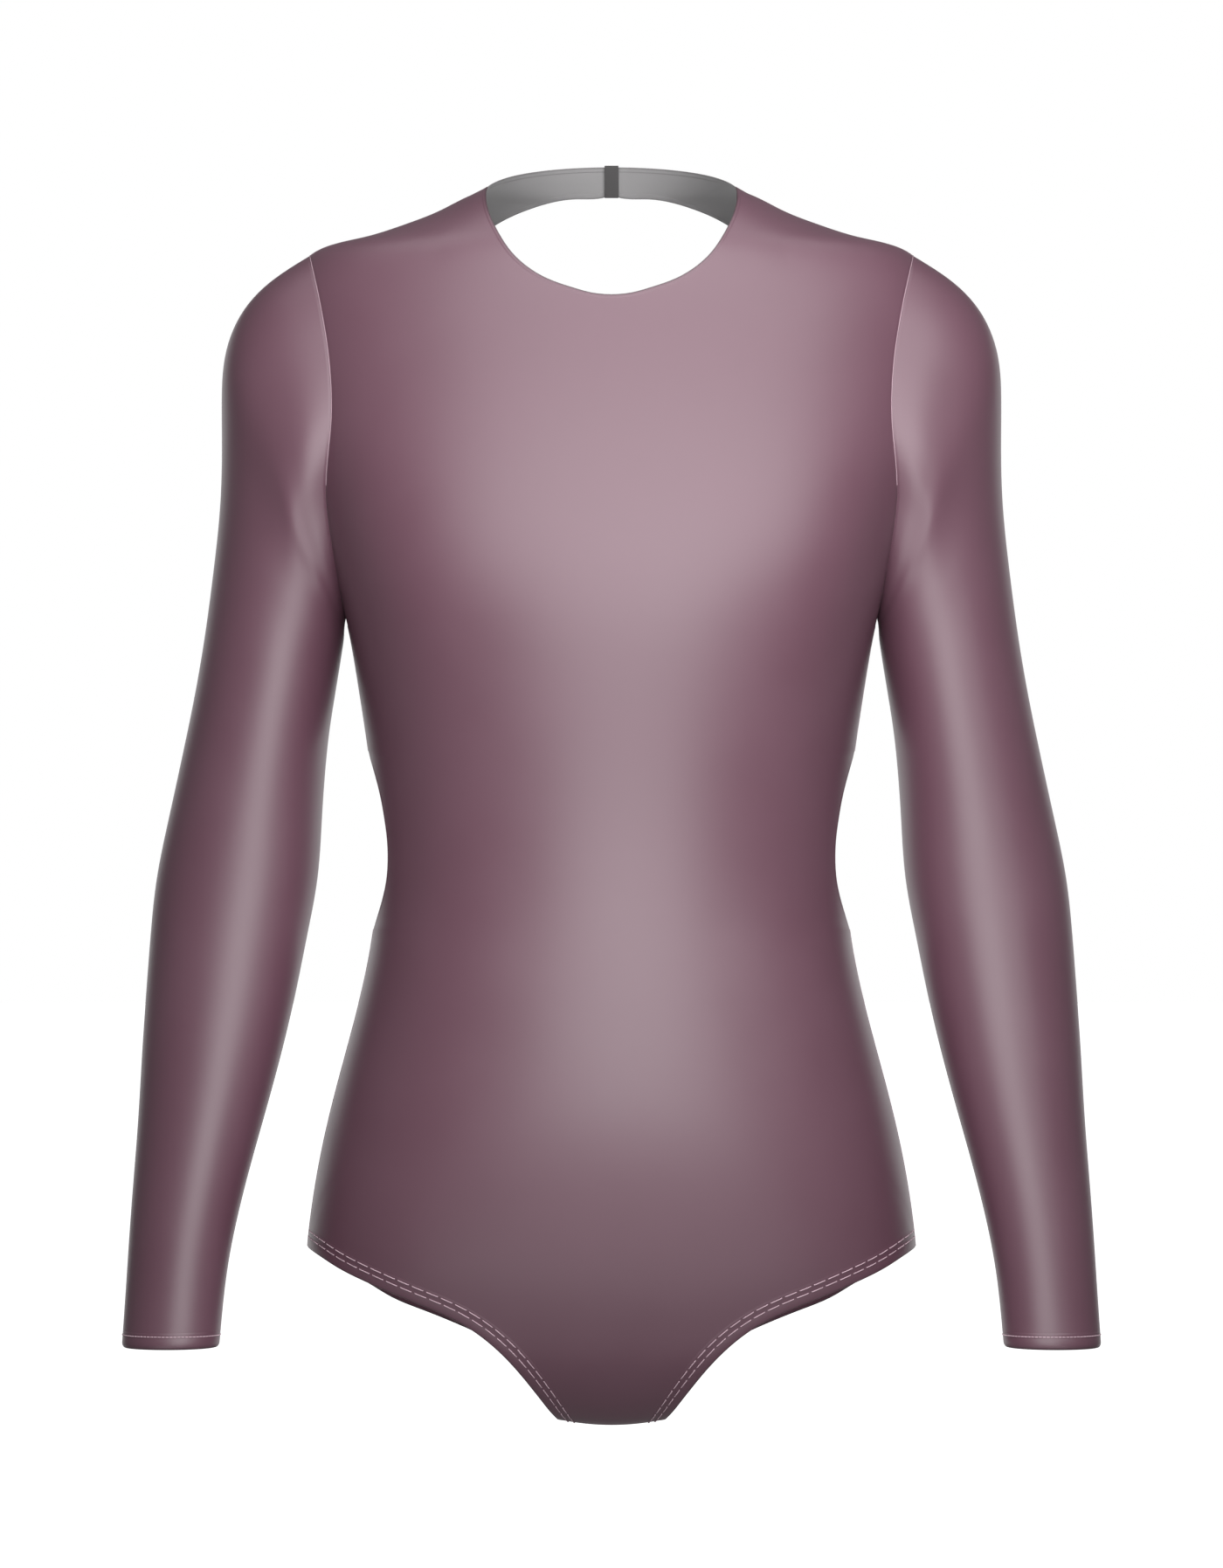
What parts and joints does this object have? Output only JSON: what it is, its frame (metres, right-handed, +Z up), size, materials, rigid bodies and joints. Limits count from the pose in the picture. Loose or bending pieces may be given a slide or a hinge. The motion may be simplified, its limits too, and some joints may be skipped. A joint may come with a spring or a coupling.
{
  "type": "leotard",
  "caption": "Long-sleeved dance leotard in satin stretch knit with a round neck and a low open back, empty and standing hollow as it is when worn.",
  "frame": {"origin": "midway between the two side neck points, where the garment hangs on the wearer's shoulders", "axes": "+Z up, the front of the garment faces -Y, and +X is the wearer's left"},
  "size_m": [0.512, 0.2207, 0.6678],
  "materials": {
    "satin_cloth": "plum satin stretch knit, grey on the inside",
    "tab_tape": "matt dark grey woven tape"
  },
  "bodies": {
    "root": {"front_panel": "satin_cloth", "upper_back_left": "satin_cloth", "upper_back_right": "satin_cloth", "lower_back": "satin_cloth", "sleeve_left": "satin_cloth", "sleeve_right": "satin_cloth", "nape_tab": "tab_tape"}
  },
  "joints": []
}
